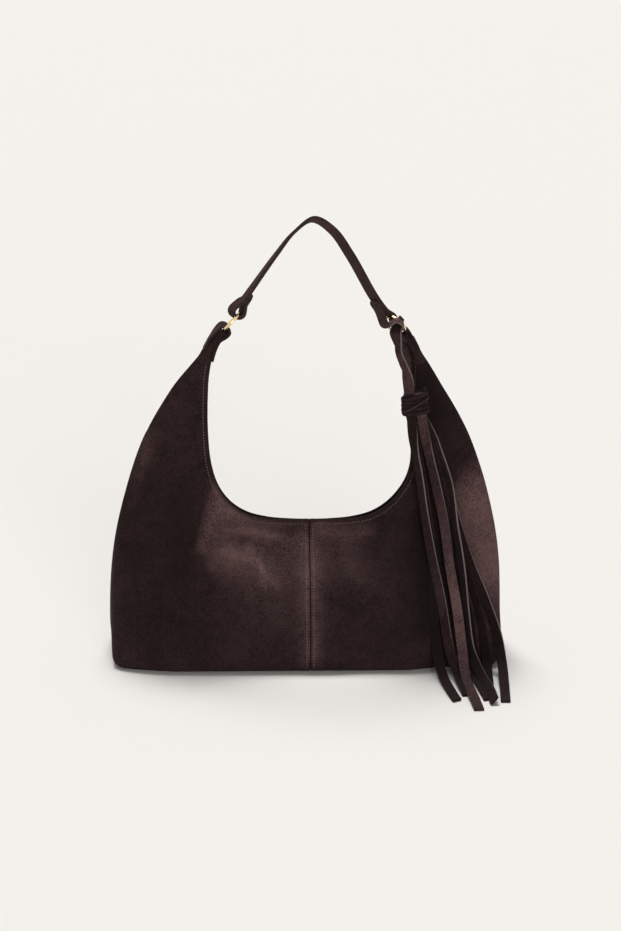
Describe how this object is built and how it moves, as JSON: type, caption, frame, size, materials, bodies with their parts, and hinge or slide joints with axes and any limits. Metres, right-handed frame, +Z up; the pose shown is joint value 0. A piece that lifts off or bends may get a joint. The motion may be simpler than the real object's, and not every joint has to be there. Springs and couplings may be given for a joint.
{
  "type": "suede shoulder bag",
  "caption": "Slouchy suede shoulder bag with a deep scooped mouth, ring-hung strap and a long knotted tassel of flat fringe strips.",
  "frame": {"origin": "middle of the base's underside, on the surface the bag stands on", "axes": "+Z up to the strap, +X to the side that carries the tassel, the front faces -Y"},
  "size_m": [0.407, 0.2175, 0.4656],
  "materials": {
    "suede": "napped dark brown suede",
    "lining": "plain woven cotton",
    "gold": "pale gold plating, polished"
  },
  "bodies": {
    "bag": {"front_panel_left": "suede", "front_panel_right": "suede", "back_panel_left": "suede", "back_panel_right": "suede", "base_panel": "suede", "lining": "lining", "ring_tab_left": "suede", "ring_tab_right": "suede"},
    "ring_left": {"ring_left": "gold"},
    "ring_right": {"ring_right": "gold"},
    "strap": {"strap": "suede"},
    "tassel": {"tassel_hanger": "suede", "tassel_wrap": "suede", "fringe_strip_1": "suede", "fringe_strip_2": "suede", "fringe_strip_3": "suede", "fringe_strip_4": "suede", "fringe_strip_5": "suede", "fringe_strip_6": "suede", "fringe_strip_7": "suede", "fringe_strip_8": "suede"}
  },
  "joints": [
    {"name": "ring_left_turn", "type": "hinge", "parent": "bag", "child": "ring_left", "pos_m": [-0.08125, 0, 0.35622], "axis": [-0.7242, 0.1392, 0.6753], "continuous": true},
    {"name": "ring_right_turn", "type": "hinge", "parent": "bag", "child": "ring_right", "pos_m": [0.08425, 0, 0.353], "axis": [0.5684, 0.6293, 0.53], "continuous": true},
    {"name": "strap_swing", "type": "hinge", "parent": "bag", "child": "strap", "pos_m": [0.0015, 0, 0.3546], "axis": [0.9998, 0, -0.0195], "range_deg": [-70, 70], "deforming": ["strap"]},
    {"name": "tassel_swing", "type": "hinge", "parent": "bag", "child": "tassel", "pos_m": [0.08954, -0.00894, 0.35793], "axis": [-0.682, 0, 0.7314], "range_deg": [0, 60]}
  ]
}
